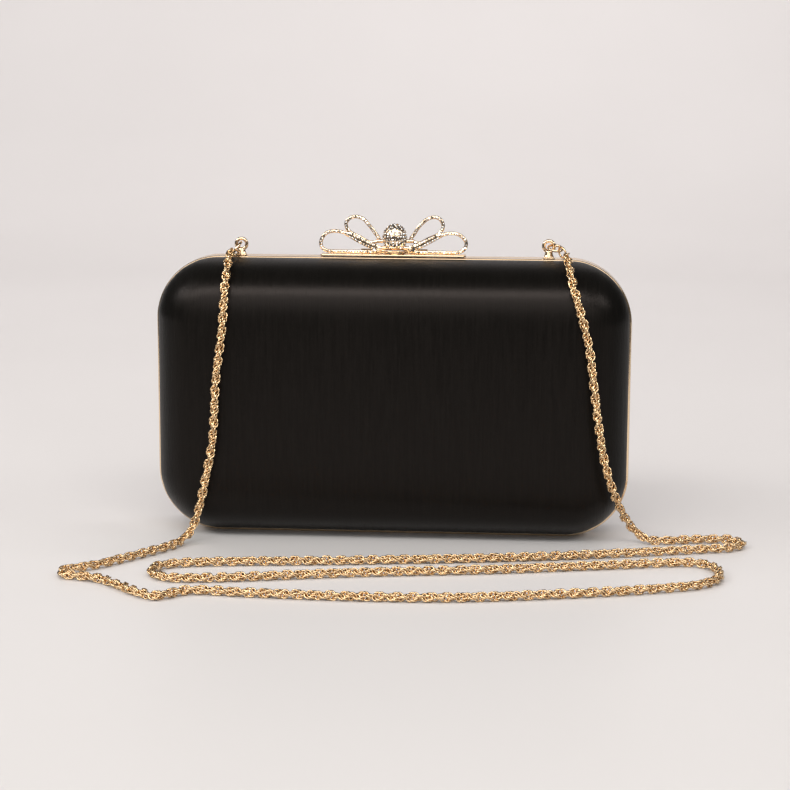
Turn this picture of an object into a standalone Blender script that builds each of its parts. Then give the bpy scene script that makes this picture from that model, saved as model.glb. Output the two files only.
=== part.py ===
# Hard-shell evening clutch: two domed halves on a metal frame, hinged at the bottom,
# with a bow clasp on top and a rope-chain strap that lies in front of the bag.
# Millimetres here, scaled to metres when a mesh is made. +Z up, front is -Y, X to the right.
# The origin is the middle of the base.
import bpy
import bmesh
import math
from mathutils import Vector

for o in list(bpy.data.objects):
    bpy.data.objects.remove(o, do_unlink=True)

MM = 0.001

# ---- main sizes ----
HALF_W = 100.0      # half of the 200 mm width
HALF_H = 59.0       # half of the 118 mm height
CORNER = 27.0       # outline corner radius
RIM = 5.3           # where a half's layers start, out from the parting plane
EDGE = 6.0          # where the edge starts to round over
DOME = 21.5         # how far the face stands out from EDGE: 27.5 mm in all
SPAN = 46.0         # distance from the outline at which the face is fully out
ROUND = 1.35        # how softly the skin leaves the frame; 2 would be a full quarter-round
SKIN_W, SKIN_H, SKIN_CORNER = 99.1, 58.1, 25.8   # the skins' own outline, just inside the frame's edge
SKIN_Z = 59.4       # height of its middle: more of the frame shows at the base than at the top
FRAME_OUT = 5.0     # depth of one half-frame
FRAME_IN = 0.15     # half the parting gap
FRAME_WALL = 2.6    # thickness of the frame's wall
COVER = 1.0         # satin over thin foam
SHELL = 1.6         # stiff moulded shell
LINING = 0.8        # lining fabric on card
GAP = 0.3
HINGE_Z = 1.5       # height of the bottom hinge's axis
HINGE_X = 50.0      # hinge centres, left and right
BARREL = 1.3        # hinge barrel radius
CLASP_Y, CLASP_Z = 4.0, 119.7   # axis of the clasp
CHAIN_R = 2.0       # strap radius


def collection(name):
    c = bpy.data.collections.new(name)
    bpy.context.scene.collection.children.link(c)
    return c


PARTS = collection("parts")
CUTTERS = collection("cutters")

MATS = {}


def material(name, colour, metallic=0.0, rough=0.5):
    m = bpy.data.materials.new(name)
    m.use_nodes = True
    b = m.node_tree.nodes["Principled BSDF"]
    b.inputs["Base Color"].default_value = (*colour, 1.0)
    b.inputs["Metallic"].default_value = metallic
    b.inputs["Roughness"].default_value = rough
    m.diffuse_color = (*colour, 1.0)
    MATS[name] = m
    return m


material("satin_black", (0.012, 0.012, 0.013), 0.0, 0.38)
material("gold_metal", (0.78, 0.56, 0.32), 1.0, 0.25)
material("chain_gold", (0.80, 0.58, 0.34), 1.0, 0.3)
material("shell_board", (0.10, 0.09, 0.08), 0.0, 0.8)
material("lining_black", (0.02, 0.02, 0.02), 0.0, 0.6)


def finish(name, bm, slot, cutter=False):
    """A bmesh in millimetres becomes a named object in metres."""
    bmesh.ops.scale(bm, vec=(MM, MM, MM), verts=bm.verts)
    bmesh.ops.recalc_face_normals(bm, faces=bm.faces)
    if bm.calc_volume(signed=True) < 0:
        bmesh.ops.reverse_faces(bm, faces=bm.faces)
    me = bpy.data.meshes.new(name)
    bm.to_mesh(me)
    bm.free()
    ob = bpy.data.objects.new(name, me)
    if slot:
        me.materials.append(MATS[slot])
    if cutter:
        CUTTERS.objects.link(ob)
        ob.hide_render = True
        ob.display_type = "WIRE"
    else:
        PARTS.objects.link(ob)
    return ob


def apply_bool(ob, others, op):
    """Booleans applied at once, so that each part is left as a plain closed mesh."""
    for other in others:
        m = ob.modifiers.new(op.lower(), "BOOLEAN")
        m.operation = op
        m.solver = "EXACT"
        m.object = other
        dg = bpy.context.evaluated_depsgraph_get()
        me = bpy.data.meshes.new_from_object(ob.evaluated_get(dg), depsgraph=dg)
        ob.modifiers.clear()
        old = ob.data
        ob.data = me
        me.name = ob.name
        bpy.data.meshes.remove(old)
    bm = bmesh.new()
    bm.from_mesh(ob.data)
    bmesh.ops.remove_doubles(bm, verts=bm.verts, dist=1e-6)
    bmesh.ops.dissolve_degenerate(bm, edges=bm.edges, dist=1e-6)
    bmesh.ops.recalc_face_normals(bm, faces=bm.faces)
    bm.to_mesh(ob.data)
    bm.free()
    for other in others:
        bpy.data.objects.remove(other, do_unlink=True)
    return ob


# ---- outline and face profile ----
ARC = 8             # pieces in each corner arc
SKIN = (SKIN_W, SKIN_H, SKIN_CORNER, SKIN_Z)


def outline(offset, y, size=(HALF_W, HALF_H, CORNER, HALF_H)):
    """Rounded rectangle, inset by offset, at depth y: a ring of points."""
    half_w, half_h, corner, mid = size
    r = max(corner - offset, 4.0)
    hw, hh = half_w - offset, half_h - offset
    pts = []
    for cx, cz, a0 in ((hw - r, hh - r, 0), (-(hw - r), hh - r, 90), (-(hw - r), -(hh - r), 180), (hw - r, -(hh - r), 270)):
        for k in range(ARC + 1):
            a = math.radians(a0 + 90.0 * k / ARC)
            pts.append(Vector((cx + r * math.cos(a), y, mid + cz + r * math.sin(a))))
    return pts


def face_depth(o):
    return EDGE + DOME * max(0.0, 1.0 - (1.0 - min(o, SPAN) / SPAN) ** 6) ** (1.0 / ROUND)


def profile(inset, steps):
    """(offset, depth) along a half's skin, moved in by inset."""
    out = [(inset, RIM), (inset, EDGE)]
    for o in steps:
        h = 0.02
        a, b = max(o - h, 0.0), o + h
        do, dd = b - a, face_depth(b) - face_depth(a)
        n = math.hypot(do, dd)
        out.append((o + inset * dd / n, face_depth(o) - inset * do / n))
    return out


def loft(rings, close_first=True, close_last=True, cyclic=False):
    bm = bmesh.new()
    vs = [[bm.verts.new(p) for p in ring] for ring in rings]
    n = len(rings[0])
    pairs = list(zip(vs, vs[1:])) + ([(vs[-1], vs[0])] if cyclic else [])
    for a, b in pairs:
        for i in range(n):
            j = (i + 1) % n
            bm.faces.new((a[i], a[j], b[j], b[i]))
    if not cyclic:
        if close_first:
            bm.faces.new(vs[0])
        if close_last:
            bm.faces.new(list(reversed(vs[-1])))
    return bm


def layer(name, side, outer, inner, steps, slot):
    """One domed skin of a half: side is -1 for the front and 1 for the rear."""
    po, pi = profile(outer, steps), profile(inner, steps)
    rings = [outline(o, side * d, SKIN) for o, d in po]
    back = [outline(o, side * d, SKIN) for o, d in pi]
    bm = bmesh.new()
    vo = [[bm.verts.new(p) for p in ring] for ring in rings]
    vi = [[bm.verts.new(p) for p in ring] for ring in back]
    n = len(rings[0])
    for stack in (vo, vi):
        for a, b in zip(stack, stack[1:]):
            for i in range(n):
                j = (i + 1) % n
                bm.faces.new((a[i], a[j], b[j], b[i]))
        bm.faces.new(stack[-1])
    for i in range(n):
        j = (i + 1) % n
        bm.faces.new((vo[0][i], vo[0][j], vi[0][j], vi[0][i]))
    return finish(name, bm, slot)


STEPS = (0.25, 1.2, 3.5, 8.0, 15.0, 26.0, 40.0)
c0, c1 = 0.0, COVER
s0, s1 = c1 + GAP, c1 + GAP + SHELL
l0, l1 = s1 + GAP, s1 + GAP + LINING
for side, half in ((-1, "front"), (1, "rear")):
    layer(half + "_cover", side, c0, c1, STEPS, "satin_black")
    layer(half + "_shell", side, s0, s1, STEPS, "shell_board")
    layer(half + "_lining", side, l0, l1, STEPS, "lining_black")


# ---- simple solids ----
def box(name, x0, x1, y0, y1, z0, z1, slot=None):
    cut = slot is None
    ring = lambda x: [Vector((x, y0, z0)), Vector((x, y1, z0)), Vector((x, y1, z1)), Vector((x, y0, z1))]
    return finish(name, loft([ring(x0), ring(x1)]), slot, cut)


def prism(name, section, x0, x1, slot=None):
    """A (y, z) section carried along X."""
    ring = lambda x: [Vector((x, y, z)) for y, z in section]
    return finish(name, loft([ring(x0), ring(x1)]), slot, slot is None)


def rod(name, a, b, r, slot=None, n=12, r2=None):
    a, b = Vector(a), Vector(b)
    d = (b - a).normalized()
    u = d.cross(Vector((0, 0, 1)) if abs(d.z) < 0.9 else Vector((0, 1, 0))).normalized()
    v = d.cross(u)
    ring = lambda c, q: [c + q * (u * math.cos(2 * math.pi * k / n) + v * math.sin(2 * math.pi * k / n)) for k in range(n)]
    return finish(name, loft([ring(a, r), ring(b, r if r2 is None else r2)]), slot, slot is None)


def tube(name, pts, r, slot, n=8, cyclic=False, flat=None):
    """A round wire along points, with no twist; cyclic closes it."""
    pts = [Vector(p) for p in pts]
    m = len(pts)
    tang = []
    for i in range(m):
        a = pts[i - 1] if (i > 0 or cyclic) else pts[i]
        b = pts[(i + 1) % m] if (i < m - 1 or cyclic) else pts[i]
        tang.append((b - a).normalized())
    t = tang[0]
    u = t.cross(flat or Vector((0, 0, 1)))
    if u.length < 0.1:
        u = t.cross(Vector((0, 1, 0)))
    u.normalize()
    rings = []
    for i in range(m):
        if i:
            u = (u - tang[i] * u.dot(tang[i])).normalized()
            if flat is not None:
                u = tang[i].cross(flat).normalized()
        v = tang[i].cross(u)
        rings.append([pts[i] + r * (u * math.cos(2 * math.pi * (k + 0.5) / n) + v * math.sin(2 * math.pi * (k + 0.5) / n)) for k in range(n)])
    return finish(name, loft(rings, cyclic=cyclic), slot)


def smooth(pts, count, cyclic=False):
    """Even points on a smooth curve through pts."""
    P = [Vector(p) for p in pts]
    if cyclic:
        Q = [P[-1]] + P + [P[0], P[1]]
    else:
        Q = [P[0] * 2 - P[1]] + P + [P[-1] * 2 - P[-2]]
    dense = []
    for i in range(1, len(Q) - 2):
        p0, p1, p2, p3 = Q[i - 1], Q[i], Q[i + 1], Q[i + 2]
        t0 = 0.0
        t1 = t0 + max((p1 - p0).length, 1e-6) ** 0.5
        t2 = t1 + max((p2 - p1).length, 1e-6) ** 0.5
        t3 = t2 + max((p3 - p2).length, 1e-6) ** 0.5
        for k in range(24):
            t = t1 + (t2 - t1) * k / 24
            a1 = p0 * ((t1 - t) / (t1 - t0)) + p1 * ((t - t0) / (t1 - t0))
            a2 = p1 * ((t2 - t) / (t2 - t1)) + p2 * ((t - t1) / (t2 - t1))
            a3 = p2 * ((t3 - t) / (t3 - t2)) + p3 * ((t - t2) / (t3 - t2))
            b1 = a1 * ((t2 - t) / (t2 - t0)) + a2 * ((t - t0) / (t2 - t0))
            b2 = a2 * ((t3 - t) / (t3 - t1)) + a3 * ((t - t1) / (t3 - t1))
            dense.append(b1 * ((t2 - t) / (t2 - t1)) + b2 * ((t - t1) / (t2 - t1)))
    dense.append(Q[-2])
    s = [0.0]
    for a, b in zip(dense, dense[1:]):
        s.append(s[-1] + (b - a).length)
    out = []
    last = count if cyclic else count - 1
    j = 0
    for k in range(count):
        want = s[-1] * k / last
        while j < len(s) - 2 and s[j + 1] < want:
            j += 1
        f = (want - s[j]) / max(s[j + 1] - s[j], 1e-9)
        out.append(dense[j].lerp(dense[j + 1], min(f, 1.0)))
    return out


# ---- the two half-frames ----
def half_frame(name, side):
    sec = [(0.35, FRAME_IN), (0.0, FRAME_IN + 0.35), (0.0, FRAME_OUT - 0.4), (0.3, FRAME_OUT), (FRAME_WALL, FRAME_OUT), (FRAME_WALL, FRAME_IN)]
    rings = [outline(o, side * d) for o, d in sec]
    ob = finish(name, loft(rings, cyclic=True), "gold_metal")
    cuts = []
    # a bevel along the bottom of the parting line, so that the halves can swing apart
    a = side * FRAME_IN
    cuts.append(prism("bevel_" + name, [(a, 1.7), (side * 2.35, -0.5), (-side * 0.6, -0.5), (-side * 0.6, 1.7)], -101, 101))
    for k, x in (("l", -HINGE_X), ("r", HINGE_X)):
        cuts.append(box("notch_%s_%s" % (name, k), x - 9.4, x + 9.4, -1.7, 1.7, -1.0, 3.2))
    if side < 0:
        cuts.append(box("pocket_" + name, -8.15, 8.15, -4.35, -1.05, 117.2, 119.0))
    return apply_bool(ob, cuts, "DIFFERENCE")


half_frame("front_frame", -1)
half_frame("rear_frame", 1)


# ---- bottom hinges ----
def leaf_section(side):
    """A rolled knuckle with an arm up to a plate inside the frame."""
    pts = []
    start, stop = 180.0, 472.6
    for k in range(13):
        a = math.radians(start + (stop - start) * k / 12)
        pts.append((-side * BARREL * math.cos(a), HINGE_Z + BARREL * math.sin(a)))
    pts += [(side * 0.5, 3.75), (side * 5.0, 3.75), (side * 5.0, 2.95), (side * 1.3, 2.95)]
    return pts


def hinge(tag, x):
    k = [x - 9.0, x - 3.2, x - 2.9, x + 2.9, x + 3.2, x + 9.0]
    front = prism("hinge_leaf_front_" + tag, leaf_section(-1), k[0], k[1], "gold_metal")
    other = prism("cut_a" + tag, leaf_section(-1), k[4], k[5])
    web = box("cut_b" + tag, k[0] + 0.5, k[5] - 0.5, -4.9, -1.2, 2.96, 3.74)
    apply_bool(front, [other, web], "UNION")
    apply_bool(front, [rod("cut_c" + tag, (k[0] - 1, 0, HINGE_Z), (k[5] + 1, 0, HINGE_Z), 0.65)], "DIFFERENCE")
    rear = prism("hinge_leaf_rear_" + tag, leaf_section(1), k[2], k[3], "gold_metal")
    wide = box("cut_d" + tag, k[0], k[5], 1.35, 4.95, 2.97, 3.73)
    apply_bool(rear, [wide], "UNION")
    apply_bool(rear, [rod("cut_e" + tag, (k[0] - 1, 0, HINGE_Z), (k[5] + 1, 0, HINGE_Z), 0.65)], "DIFFERENCE")
    rod("hinge_pin_" + tag, (k[0] - 0.2, 0, HINGE_Z), (k[5] + 0.2, 0, HINGE_Z), 0.5, "gold_metal", 10)


hinge("l", -HINGE_X)
hinge("r", HINGE_X)

# ---- clasp: catch on the front rail, ears on the rear rail, lifting plate ----
box("clasp_catch", -8.0, 8.0, -4.2, -1.2, 117.35, 118.2, "gold_metal")


def ear(name, x0, x1):
    sec = [(2.9, 118.15), (5.1, 118.15), (5.1, CLASP_Z)]
    for k in range(1, 8):
        a = math.pi * k / 8
        sec.append((CLASP_Y + 1.1 * math.cos(a), CLASP_Z + 1.1 * math.sin(a)))
    sec.append((2.9, CLASP_Z))
    ob = prism(name, sec, x0, x1, "gold_metal")
    apply_bool(ob, [rod("cut_" + name, (x0 - 1, CLASP_Y, CLASP_Z), (x1 + 1, CLASP_Y, CLASP_Z), 0.6, n=10)], "DIFFERENCE")


ear("clasp_ear_l", -14.0, -9.3)
ear("clasp_ear_r", 9.3, 14.0)
rod("clasp_pin", (-14.3, CLASP_Y, CLASP_Z), (14.3, CLASP_Y, CLASP_Z), 0.45, "gold_metal", 10)


def clasp_plate():
    z0, z1 = 118.3, 119.1
    pts = []
    for cx, cy, a0 in ((29.0, 0.9, 0), (-29.0, 0.9, 90), (-29.0, -4.2, 180), (29.0, -4.2, 270)):
        for k in range(4):
            a = math.radians(a0 + 30 * k)
            pts.append((cx + 1.5 * math.cos(a), cy + 1.5 * math.sin(a)))
    ring = lambda z: [Vector((x, y, z)) for x, y in pts]
    ob = finish("clasp_plate", loft([ring(z0), ring(z1)]), "gold_metal")
    knuckle = rod("cut_k", (-9.0, CLASP_Y, CLASP_Z), (9.0, CLASP_Y, CLASP_Z), 1.1)
    tongue = box("cut_t", -8.9, 8.9, 2.0, 3.6, 118.32, 119.3)
    apply_bool(ob, [tongue, knuckle], "UNION")
    apply_bool(ob, [rod("cut_p", (-10, CLASP_Y, CLASP_Z), (10, CLASP_Y, CLASP_Z), 0.6, n=10)], "DIFFERENCE")


clasp_plate()

# ---- bow: four wire loops, a pave knot on a base ----
WIRE = 0.75
LL = [(-5.3, 121.2), (-9.3, 122.5), (-14.4, 124.9), (-19.1, 127.2), (-22.0, 128.2), (-25.2, 128.5), (-27.8, 127.9), (-29.7, 126.1),
      (-30.6, 123.8), (-30.2, 121.7), (-28.2, 120.3), (-22.0, 120.0), (-14.0, 120.0), (-8.0, 120.05)]
UL = [(-6.3, 124.9), (-8.3, 128.2), (-10.5, 131.0), (-13.0, 133.6), (-16.2, 134.5), (-18.7, 133.7), (-20.1, 131.8), (-19.8, 129.6),
      (-18.3, 127.9), (-14.3, 125.9), (-9.6, 123.7)]
LR = [(6.2, 121.2), (10.1, 122.3), (13.5, 124.0), (17.2, 125.9), (20.2, 127.2), (23.0, 127.9), (26.0, 127.9), (28.5, 126.8),
      (30.2, 124.8), (30.4, 122.8), (29.2, 120.9), (26.5, 120.0), (18.0, 120.0), (9.4, 120.05)]
UR = [(7.2, 125.2), (8.6, 127.4), (10.2, 130.0), (12.1, 132.1), (14.1, 133.7), (16.6, 134.5), (18.9, 134.0), (20.3, 132.4),
      (20.6, 130.0), (18.9, 127.6), (15.0, 125.6), (10.4, 123.6)]
for name, pts, y in (("bow_loop_lower_l", LL, -1.0), ("bow_loop_upper_l", UL, 0.85), ("bow_loop_lower_r", LR, -1.0), ("bow_loop_upper_r", UR, 0.85)):
    tube(name, smooth([(x, y, z) for x, z in pts], 26, True), WIRE, "gold_metal", 8, True, Vector((0, 1, 0)))


def knot():
    c = Vector((0.5, -0.6, 125.7))
    a, b, h = 5.4, 4.2, 6.3
    rings = []
    low = math.asin(-(c.z - 120.7) / h)
    for i in range(7):
        t = low + (math.radians(80) - low) * i / 6
        rings.append([c + Vector((a * math.cos(t) * math.cos(q), b * math.cos(t) * math.sin(q), h * math.sin(t))) for q in [2 * math.pi * k / 16 for k in range(16)]])
    finish("bow_knot", loft(rings), "gold_metal")
    ring = lambda z, f: [Vector((0.5 + 4.2 * f * math.cos(2 * math.pi * k / 16), -1.2 + 3.0 * f * math.sin(2 * math.pi * k / 16), z)) for k in range(16)]
    finish("bow_base", loft([ring(119.25, 1.0), ring(120.5, 0.95)]), "gold_metal")


knot()


# ---- strap lugs and rings ----
def torus(name, c, e1, e2, R, r, slot, n=16, m=8):
    c, e1 = Vector(c), Vector(e1).normalized()
    e2 = Vector(e2)
    e2 = (e2 - e1 * e2.dot(e1)).normalized()
    nrm = e1.cross(e2)
    rings = []
    for i in range(n):
        a = 2 * math.pi * i / n
        d = e1 * math.cos(a) + e2 * math.sin(a)
        rings.append([c + d * (R + r * math.cos(2 * math.pi * k / m)) + nrm * r * math.sin(2 * math.pi * k / m) for k in range(m)])
    return finish(name, loft(rings, cyclic=True), slot)


def lug(name, x, z):
    ob = torus(name, (x, -2.6, z), (1, 0, 0), (0, 0, 1), 2.3, 0.6, "gold_metal")
    post = rod("cut_post" + name, (x, -2.6, 118.6), (x, -2.6, z - 2.1), 1.9, n=12, r2=0.9)
    foot = box("cut_foot" + name, x - 2.4, x + 2.4, -4.6, -0.6, 118.15, 118.9)
    apply_bool(ob, [post, foot], "UNION")


lug("lug_l", -64.0, 122.9)
lug("lug_r", 65.0, 123.2)
torus("jump_ring_l", (-65.8, -4.2, 121.2), (-0.61, 0.08, -0.79), (-0.01, -1.0, -0.1), 3.0, 0.45, "gold_metal")
torus("end_ring_l", (-66.76, -7.72, 119.67), (-0.19, -0.9, -0.38), (0.93, -0.16, -0.09), 2.1, 0.42, "chain_gold")
torus("jump_ring_r", (67.67, -4.03, 122.55), (0.9, 0.44, 0.04), (0.43, -0.84, -0.33), 3.0, 0.45, "gold_metal")
torus("end_ring_r", (70.56, -6.52, 120.99), (0.04, -0.46, 0.89), (-0.62, 0.68, 0.38), 2.3, 0.42, "chain_gold")

# ---- strap ----
DROP_L = [(-67.0, -10.7, 120.2), (-67.1, -13.3, 119.5), (-67.4, -16.2, 117.3), (-67.4, -21.4, 113.4), (-67.5, -26.2, 107.65), (-67.8, -28.65, 100.9),
          (-68.5, -29.65, 89.9), (-71.2, -30.0, 69.0), (-72.8, -30.1, 44.0), (-76.0, -30.2, 27.0), (-79.4, -30.4, 12.5), (-82.4, -31.0, 5.0),
          (-85.5, -36.0, 2.2)]
FLOOR = [(-87.4, -41.5, 2.0), (-95.0, -54.0, 2.0), (-103.0, -65.5, 2.0), (-111.0, -76.0, 2.0), (-118.0, -82.5, 2.0), (-123.0, -87.0, 2.0), (-122.0, -92.5, 2.0),
         (-115.0, -95.0, 2.0), (-106.0, -98.5, 2.0), (-97.0, -107.0, 2.0), (-88.0, -116.5, 2.0), (-80.0, -121.5, 2.0), (-75.0, -117.5, 2.0), (-69.0, -112.5, 2.0),
         (-45.0, -114.0, 2.0), (-7.5, -116.0, 2.0), (30.0, -114.5, 2.0), (67.0, -107.0, 2.0), (105.0, -96.0, 2.0), (124.5, -87.5, 2.0), (131.5, -79.5, 2.0),
         (133.5, -69.0, 2.0), (132.0, -59.0, 2.0), (125.5, -53.5, 2.0), (87.0, -61.0, 2.0), (47.5, -70.5, 2.0), (-10.5, -81.0, 2.0), (-67.0, -94.0, 2.0),
         (-81.0, -94.0, 2.0), (-88.0, -86.5, 2.0), (-87.5, -77.5, 2.0), (-80.5, -72.0, 2.0), (-12.5, -61.5, 2.0), (47.0, -52.0, 2.0), (87.5, -42.5, 2.0),
         (129.0, -30.5, 2.0), (141.5, -26.5, 2.0), (147.0, -19.5, 2.0), (143.0, -12.5, 2.0), (130.0, -13.0, 2.0), (116.0, -16.5, 2.0), (109.0, -16.8, 2.1)]
DROP_R = [(104.5, -16.0, 4.2), (100.5, -17.8, 8.5), (96.4, -22.0, 15.8), (93.2, -27.4, 24.0), (90.4, -29.8, 32.5), (87.9, -30.2, 43.0),
          (84.6, -29.9, 65.0), (81.8, -29.1, 84.9), (77.6, -28.45, 100.9), (75.4, -25.8, 108.2), (74.0, -20.95, 113.75), (73.15, -15.2, 117.45),
          (72.4, -12.4, 119.3), (71.8, -9.7, 120.4)]
ROUTE = smooth(DROP_L + FLOOR + DROP_R, 4001)


def cut(pts, a, b):
    """The stretch between shares a and b of the route, with only the points its bends need."""
    n = len(pts) - 1
    part = pts[int(round(n * a)):int(round(n * b)) + 1]
    keep = [0, len(part) - 1]
    while True:
        added = False
        for i in range(len(keep) - 1, 0, -1):
            lo, hi = keep[i - 1], keep[i]
            line = part[hi] - part[lo]
            far, at = 0.0, None
            for k in range(lo + 4, hi - 3):
                v = part[k] - part[lo]
                d = (v - line * (v.dot(line) / line.length_squared)).length
                if d > far:
                    far, at = d, k
            if far > 0.3 or (at is not None and line.length > 45.0):
                keep.insert(i, at)
                added = True
        if not added:
            return [part[k] for k in keep]


LENGTH = sum((b - a).length for a, b in zip(ROUTE, ROUTE[1:]))
SPLIT_L, SPLIT_R = 137.0 / LENGTH, 1.0 - 138.0 / LENGTH
tiny = 0.5 / LENGTH
tube("chain_drop_l", cut(ROUTE, 0.0, SPLIT_L - tiny), CHAIN_R, "chain_gold", 8, flat=Vector((1, 0, 0)))
tube("chain_floor", cut(ROUTE, SPLIT_L + tiny, SPLIT_R - tiny), CHAIN_R, "chain_gold", 8, flat=Vector((0, 0, 1)))
tube("chain_drop_r", cut(ROUTE, SPLIT_R + tiny, 1.0), CHAIN_R, "chain_gold", 8)
print("strap length mm", round(LENGTH, 1))
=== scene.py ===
"""Evening clutch: satin skins, gold frame, bow clasp and rope-chain strap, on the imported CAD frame."""
import math
import bpy
import bmesh
import numpy as np
from mathutils import Matrix, Vector, noise


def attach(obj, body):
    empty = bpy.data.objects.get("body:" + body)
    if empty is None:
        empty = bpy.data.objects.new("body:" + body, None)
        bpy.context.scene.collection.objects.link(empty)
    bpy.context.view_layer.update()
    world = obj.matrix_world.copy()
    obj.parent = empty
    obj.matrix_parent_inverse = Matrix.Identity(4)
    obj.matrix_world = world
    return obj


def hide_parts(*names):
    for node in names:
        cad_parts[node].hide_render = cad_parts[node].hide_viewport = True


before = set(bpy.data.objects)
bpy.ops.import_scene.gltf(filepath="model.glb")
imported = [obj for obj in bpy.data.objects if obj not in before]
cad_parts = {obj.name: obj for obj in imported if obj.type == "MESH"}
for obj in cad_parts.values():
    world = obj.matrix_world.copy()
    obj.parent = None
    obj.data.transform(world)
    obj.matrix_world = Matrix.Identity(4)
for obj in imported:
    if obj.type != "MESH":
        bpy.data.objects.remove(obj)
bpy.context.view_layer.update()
MM = 0.001
scene = bpy.context.scene

# ---------------------------------------------------------------- sizes, in mm, as in the CAD
HALF_W, HALF_H, CORNER = 100.0, 59.0, 27.0
RIM, EDGE, DOME, SPAN = 5.3, 6.0, 21.5, 46.0
FRAME_IN = 0.15
COVER, SHELL, LINING, GAP = 1.0, 1.6, 0.8, 0.3
ROUND = 1.35        # how softly the skin leaves the frame
FRAME_SIZE = (HALF_W, HALF_H, CORNER, HALF_H)      # half width, half height, corner, middle height
SKIN_SIZE = (99.1, 58.1, 25.8, 59.4)
HINGE_X = 50.0
CLASP_Y, CLASP_Z = 4.0, 119.7


# ---------------------------------------------------------------- camera
def add_camera():
    lens_px, distance = 2048.0, 870.5
    tilt, yaw, roll = math.radians(9.6), math.radians(4.1), math.radians(0.24)
    target = Vector((0.8, 0.0, 58.9))
    back = Vector((math.sin(yaw) * math.cos(tilt), -math.cos(yaw) * math.cos(tilt), math.sin(tilt)))
    right = (-back).cross(Vector((0, 0, 1))).normalized()
    up = right.cross(-back)
    r2 = right * math.cos(roll) + up * math.sin(roll)
    u2 = up * math.cos(roll) - right * math.sin(roll)
    cam = bpy.data.cameras.new("camera")
    cam.sensor_width = 36.0
    cam.lens = 36.0 * lens_px / 790.0
    cam.clip_start, cam.clip_end = 0.02, 50.0
    ob = bpy.data.objects.new("camera", cam)
    scene.collection.objects.link(ob)
    place = (target + back * distance) * MM
    rows = [(r2[i], u2[i], back[i], place[i]) for i in range(3)]
    ob.matrix_world = Matrix((*rows, (0, 0, 0, 1)))
    scene.camera = ob


add_camera()


# ---------------------------------------------------------------- materials
def node_material(name):
    m = bpy.data.materials.new(name)
    m.use_nodes = True
    nt = m.node_tree
    b = nt.nodes["Principled BSDF"]
    return m, nt, b


def link(nt, a, b):
    nt.links.new(a, b)


def coords(nt, scale):
    tc = nt.nodes.new("ShaderNodeTexCoord")
    mp = nt.nodes.new("ShaderNodeMapping")
    mp.inputs["Scale"].default_value = scale
    link(nt, tc.outputs["Object"], mp.inputs["Vector"])
    return mp.outputs["Vector"]


def noise_node(nt, scale, detail=2.0, rough=0.5, size=1.0):
    n = nt.nodes.new("ShaderNodeTexNoise")
    n.inputs["Scale"].default_value = size
    n.inputs["Detail"].default_value = detail
    n.inputs["Roughness"].default_value = rough
    link(nt, coords(nt, scale), n.inputs["Vector"])
    return n.outputs["Fac"]


def remap(nt, fac, lo, hi, from_lo=0.3, from_hi=0.7):
    r = nt.nodes.new("ShaderNodeMapRange")
    r.inputs["From Min"].default_value = from_lo
    r.inputs["From Max"].default_value = from_hi
    r.inputs["To Min"].default_value = lo
    r.inputs["To Max"].default_value = hi
    link(nt, fac, r.inputs["Value"])
    return r.outputs["Result"]


def mix_colour(nt, fac, a, b):
    m = nt.nodes.new("ShaderNodeMix")
    m.data_type = "RGBA"
    m.inputs["A"].default_value = (*a, 1)
    m.inputs["B"].default_value = (*b, 1)
    link(nt, fac, m.inputs["Factor"])
    return m.outputs["Result"]


def add_nodes(nt, a, b, how="ADD"):
    m = nt.nodes.new("ShaderNodeMath")
    m.operation = how
    link(nt, a, m.inputs[0])
    if isinstance(b, (int, float)):
        m.inputs[1].default_value = b
    else:
        link(nt, b, m.inputs[1])
    return m.outputs[0]


def bump(nt, height, strength, distance, shader):
    n = nt.nodes.new("ShaderNodeBump")
    n.inputs["Strength"].default_value = strength
    n.inputs["Distance"].default_value = distance
    link(nt, height, n.inputs["Height"])
    link(nt, n.outputs["Normal"], shader.inputs["Normal"])


def satin():
    m, nt, b = node_material("satin_skin")
    slub = noise_node(nt, (1300.0, 90.0, 70.0), 3.0, 0.6)
    fine = noise_node(nt, (4200.0, 500.0, 330.0), 2.0, 0.6)
    soft = noise_node(nt, (28.0, 28.0, 22.0), 2.0, 0.5)
    black = mix_colour(nt, remap(nt, slub, 0.0, 1.0), (0.0026, 0.0024, 0.0020), (0.0046, 0.0042, 0.0035))
    link(nt, black, b.inputs["Base Color"])
    threads = add_nodes(nt, slub, add_nodes(nt, fine, 0.5, "MULTIPLY"))
    link(nt, remap(nt, threads, 0.28, 0.38, 0.5, 1.0), b.inputs["Roughness"])
    facing = nt.nodes.new("ShaderNodeTexCoord")
    split = nt.nodes.new("ShaderNodeSeparateXYZ")
    link(nt, facing.outputs["Normal"], split.inputs[0])
    # the sheen is let down where the skin faces sideways, a choice of look and not a property of satin
    sideways = add_nodes(nt, split.outputs["X"], 0.0, "ABSOLUTE")
    link(nt, remap(nt, sideways, 0.16, 0.03, 0.55, 0.95), b.inputs["Specular IOR Level"])
    b.inputs["Specular Tint"].default_value = (1.0, 0.86, 0.80, 1)
    h = add_nodes(nt, add_nodes(nt, slub, fine), add_nodes(nt, soft, 1.5, "MULTIPLY"))
    bump(nt, h, 0.6, 0.00012, b)
    return m


def gold(name, colour, rough, grain):
    m, nt, b = node_material(name)
    b.inputs["Metallic"].default_value = 1.0
    wear = noise_node(nt, (grain, grain, grain), 3.0, 0.6)
    worn = tuple(c * 0.93 for c in colour)
    link(nt, mix_colour(nt, remap(nt, wear, 0.0, 1.0), worn, colour), b.inputs["Base Color"])
    link(nt, remap(nt, wear, rough * 0.7, rough * 1.4), b.inputs["Roughness"])
    bump(nt, wear, 0.12, 0.00004, b)
    return m


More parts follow.
